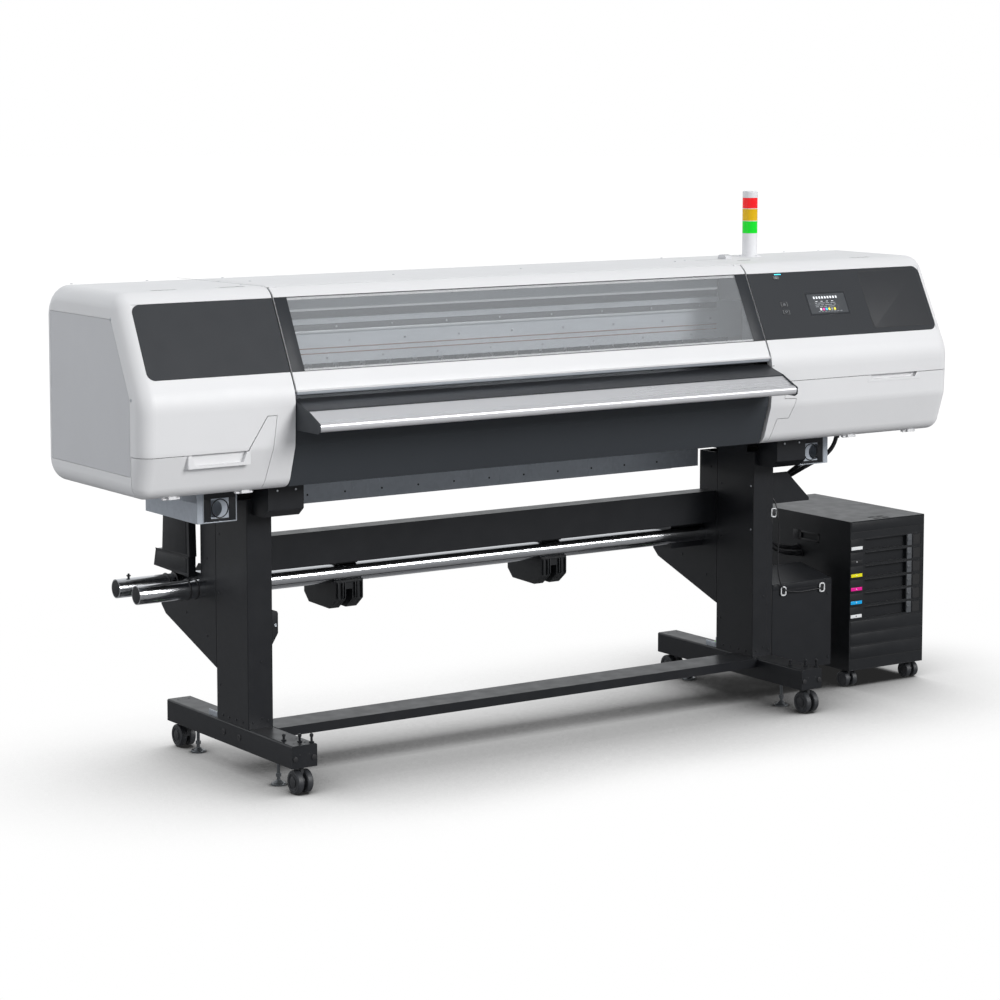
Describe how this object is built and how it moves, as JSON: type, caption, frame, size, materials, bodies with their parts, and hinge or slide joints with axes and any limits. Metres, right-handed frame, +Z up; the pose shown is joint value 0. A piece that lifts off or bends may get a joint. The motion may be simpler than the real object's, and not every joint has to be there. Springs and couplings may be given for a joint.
{
  "type": "wide-format roll printer",
  "caption": "Wide-format roll-to-roll inkjet printer on a levelled stand, with a hinged window hood, signal lamp, media shafts and a separate ink cabinet.",
  "frame": {"origin": "on the floor, under the middle of the whole object's box", "axes": "+Z up, +X along the carriage's travel towards the ink cabinet, -Y towards the operator"},
  "size_m": [3.0046, 0.882, 1.638],
  "materials": {
    "housing_white": "satin",
    "panel_grey": "satin",
    "fascia_dark": "satin",
    "screen_glass": "gloss",
    "window_clear": "clear",
    "key_grey": "satin",
    "chassis_steel": "satin",
    "rail_steel": "brushed",
    "carriage_black": "matte",
    "roller_rubber": "matte",
    "deck_dark": "satin",
    "bar_silver": "satin",
    "apron_dark": "satin",
    "galvanised": "satin",
    "stand_paint": "powder coat",
    "shaft_chrome": "polished",
    "lamp_white": "gloss",
    "lens_green": "gloss",
    "lens_amber": "gloss",
    "lens_red": "gloss",
    "cabinet_black": "powder coat",
    "tray_black": "matte",
    "hose_black": "satin",
    "caster_black": "satin",
    "wheel_rubber": "satin",
    "leveller_steel": "satin"
  },
  "bodies": {
    "frame": {"cabinet_shell": "cabinet_black", "capping_station": "carriage_black", "carriage_rail": "rail_steel", "centre_covers": "housing_white", "chassis_base": "chassis_steel", "end_panels": "panel_grey", "fascia_panels": "fascia_dark", "front_apron": "apron_dark", "galvanised_plates": "galvanised", "guide_bar": "bar_silver", "guide_shafts": "shaft_chrome", "ink_hoses": "hose_black", "lamp_lens_amber": "lens_amber", "lamp_lens_green": "lens_green", "lamp_lens_red": "lens_red", "left_housing": "housing_white", "lifting_frames": "galvanised", "media_deck": "deck_dark", "media_unit_boxes": "stand_paint", "right_housing": "housing_white", "signal_post": "lamp_white", "stand_beams": "stand_paint", "stand_brackets": "stand_paint", "stand_columns": "stand_paint", "stand_feet": "stand_paint", "touch_screen": "screen_glass", "waste_box": "stand_paint"},
    "hood": {"hood_frame": "housing_white", "hood_window": "window_clear"},
    "left_door": {"left_door": "housing_white"},
    "right_door": {"right_door": "housing_white"},
    "power_button": {"power_button": "key_grey"},
    "key_upper": {"key_upper": "key_grey"},
    "key_lower": {"key_lower": "key_grey"},
    "carriage": {"print_carriage": "carriage_black"},
    "feed_roller": {"feed_roller": "roller_rubber"},
    "pinch_rollers": {"pinch_rollers": "roller_rubber"},
    "roll_rest_1": {"roll_rest_1": "carriage_black"},
    "roll_rest_2": {"roll_rest_2": "carriage_black"},
    "left_levellers": {"left_levellers": "leveller_steel"},
    "right_levellers": {"right_levellers": "leveller_steel"},
    "cabinet_rear_wheels": {"cabinet_rear_wheels": "wheel_rubber"},
    "ink_tray_1": {"ink_tray_1": "tray_black"},
    "ink_tray_2": {"ink_tray_2": "tray_black"},
    "ink_tray_3": {"ink_tray_3": "tray_black"},
    "ink_tray_4": {"ink_tray_4": "tray_black"},
    "ink_tray_5": {"ink_tray_5": "tray_black"},
    "ink_tray_6": {"ink_tray_6": "tray_black"},
    "left_front_caster_swivel": {"left_front_caster_fork": "caster_black"},
    "left_front_caster_wheels": {"left_front_caster_wheels": "wheel_rubber"},
    "left_rear_caster_swivel": {"left_rear_caster_fork": "caster_black"},
    "left_rear_caster_wheels": {"left_rear_caster_wheels": "wheel_rubber"},
    "right_front_caster_swivel": {"right_front_caster_fork": "caster_black"},
    "right_front_caster_wheels": {"right_front_caster_wheels": "wheel_rubber"},
    "right_rear_caster_swivel": {"right_rear_caster_fork": "caster_black"},
    "right_rear_caster_wheels": {"right_rear_caster_wheels": "wheel_rubber"},
    "cabinet_left_caster_swivel": {"cabinet_left_caster_fork": "caster_black"},
    "cabinet_left_caster_wheels": {"cabinet_left_caster_wheels": "wheel_rubber"},
    "cabinet_right_caster_swivel": {"cabinet_right_caster_fork": "caster_black"},
    "cabinet_right_caster_wheels": {"cabinet_right_caster_wheels": "wheel_rubber"}
  },
  "joints": [
    {"name": "hood_hinge", "type": "hinge", "parent": "frame", "child": "hood", "pos_m": [-0.1715, -0.152, 1.4215], "axis": [-1, 0, 0], "range_deg": [0, 65]},
    {"name": "left_door_hinge", "type": "hinge", "parent": "frame", "child": "left_door", "pos_m": [-1.265, -0.2468, 0.8604], "axis": [1, 0, 0], "range_deg": [0, 90]},
    {"name": "right_door_hinge", "type": "hinge", "parent": "frame", "child": "right_door", "pos_m": [1.182, -0.2468, 0.8604], "axis": [1, 0, 0], "range_deg": [0, 90]},
    {"name": "power_button_press", "type": "slide", "parent": "frame", "child": "power_button", "axis": [0, 0.8917, -0.4526], "range_m": [0, 0.001], "stiffness_N_per_m": 400},
    {"name": "key_upper_press", "type": "slide", "parent": "frame", "child": "key_upper", "axis": [0, 0.8917, -0.4526], "range_m": [0, 0.001], "stiffness_N_per_m": 400},
    {"name": "key_lower_press", "type": "slide", "parent": "frame", "child": "key_lower", "axis": [0, 0.8917, -0.4526], "range_m": [0, 0.001], "stiffness_N_per_m": 400},
    {"name": "carriage_travel", "type": "slide", "parent": "frame", "child": "carriage", "axis": [-1, 0, 0], "range_m": [0, 2.13]},
    {"name": "feed_roller_spin", "type": "hinge", "parent": "frame", "child": "feed_roller", "pos_m": [-0.1715, -0.01, 1.098], "axis": [1, 0, 0], "continuous": true},
    {"name": "pinch_rollers_spin", "type": "hinge", "parent": "frame", "child": "pinch_rollers", "pos_m": [-0.1715, -0.01, 1.1263], "axis": [1, 0, 0], "continuous": true},
    {"name": "ink_tray_1_slide", "type": "slide", "parent": "frame", "child": "ink_tray_1", "axis": [0, -1, 0], "range_m": [0, 0.36]},
    {"name": "ink_tray_2_slide", "type": "slide", "parent": "frame", "child": "ink_tray_2", "axis": [0, -1, 0], "range_m": [0, 0.36]},
    {"name": "ink_tray_3_slide", "type": "slide", "parent": "frame", "child": "ink_tray_3", "axis": [0, -1, 0], "range_m": [0, 0.36]},
    {"name": "ink_tray_4_slide", "type": "slide", "parent": "frame", "child": "ink_tray_4", "axis": [0, -1, 0], "range_m": [0, 0.36]},
    {"name": "ink_tray_5_slide", "type": "slide", "parent": "frame", "child": "ink_tray_5", "axis": [0, -1, 0], "range_m": [0, 0.36]},
    {"name": "ink_tray_6_slide", "type": "slide", "parent": "frame", "child": "ink_tray_6", "axis": [0, -1, 0], "range_m": [0, 0.36]},
    {"name": "roll_rest_1_slide", "type": "slide", "parent": "frame", "child": "roll_rest_1", "axis": [1, 0, 0], "range_m": [-0.35, 0.3]},
    {"name": "roll_rest_2_slide", "type": "slide", "parent": "frame", "child": "roll_rest_2", "axis": [1, 0, 0], "range_m": [-0.3, 0.35]},
    {"name": "left_levellers_jack", "type": "slide", "parent": "frame", "child": "left_levellers", "axis": [0, 0, -1], "range_m": [0, 0.02]},
    {"name": "right_levellers_jack", "type": "slide", "parent": "frame", "child": "right_levellers", "axis": [0, 0, -1], "range_m": [0, 0.02]},
    {"name": "left_front_caster_turn", "type": "hinge", "parent": "frame", "child": "left_front_caster_swivel", "pos_m": [-1.0203, -0.298, 0.07], "axis": [0, 0, 1], "continuous": true},
    {"name": "left_front_caster_roll", "type": "hinge", "parent": "left_front_caster_swivel", "child": "left_front_caster_wheels", "pos_m": [-1.0203, -0.316, 0.035], "axis": [1, 0, 0], "continuous": true},
    {"name": "left_rear_caster_turn", "type": "hinge", "parent": "frame", "child": "left_rear_caster_swivel", "pos_m": [-1.0203, 0.366, 0.07], "axis": [0, 0, 1], "continuous": true},
    {"name": "left_rear_caster_roll", "type": "hinge", "parent": "left_rear_caster_swivel", "child": "left_rear_caster_wheels", "pos_m": [-1.0203, 0.384, 0.035], "axis": [1, 0, 0], "continuous": true},
    {"name": "right_front_caster_turn", "type": "hinge", "parent": "frame", "child": "right_front_caster_swivel", "pos_m": [0.8336, -0.298, 0.07], "axis": [0, 0, 1], "continuous": true},
    {"name": "right_front_caster_roll", "type": "hinge", "parent": "right_front_caster_swivel", "child": "right_front_caster_wheels", "pos_m": [0.8336, -0.316, 0.035], "axis": [1, 0, 0], "continuous": true},
    {"name": "right_rear_caster_turn", "type": "hinge", "parent": "frame", "child": "right_rear_caster_swivel", "pos_m": [0.8336, 0.366, 0.07], "axis": [0, 0, 1], "continuous": true},
    {"name": "right_rear_caster_roll", "type": "hinge", "parent": "right_rear_caster_swivel", "child": "right_rear_caster_wheels", "pos_m": [0.8336, 0.384, 0.035], "axis": [1, 0, 0], "continuous": true},
    {"name": "cabinet_left_caster_turn", "type": "hinge", "parent": "frame", "child": "cabinet_left_caster_swivel", "pos_m": [1.206, -0.071, 0.05], "axis": [0, 0, 1], "continuous": true},
    {"name": "cabinet_left_caster_roll", "type": "hinge", "parent": "cabinet_left_caster_swivel", "child": "cabinet_left_caster_wheels", "pos_m": [1.206, -0.081, 0.025], "axis": [1, 0, 0], "continuous": true},
    {"name": "cabinet_right_caster_turn", "type": "hinge", "parent": "frame", "child": "cabinet_right_caster_swivel", "pos_m": [1.4753, -0.071, 0.05], "axis": [0, 0, 1], "continuous": true},
    {"name": "cabinet_right_caster_roll", "type": "hinge", "parent": "cabinet_right_caster_swivel", "child": "cabinet_right_caster_wheels", "pos_m": [1.4753, -0.081, 0.025], "axis": [1, 0, 0], "continuous": true},
    {"name": "cabinet_rear_wheels_roll", "type": "hinge", "parent": "frame", "child": "cabinet_rear_wheels", "pos_m": [1.34065, 0.396, 0.025], "axis": [1, 0, 0], "continuous": true}
  ],
  "couplings": [
    {"joint": "pinch_rollers_spin", "follows": "feed_roller_spin", "ratio": -2.5}
  ]
}
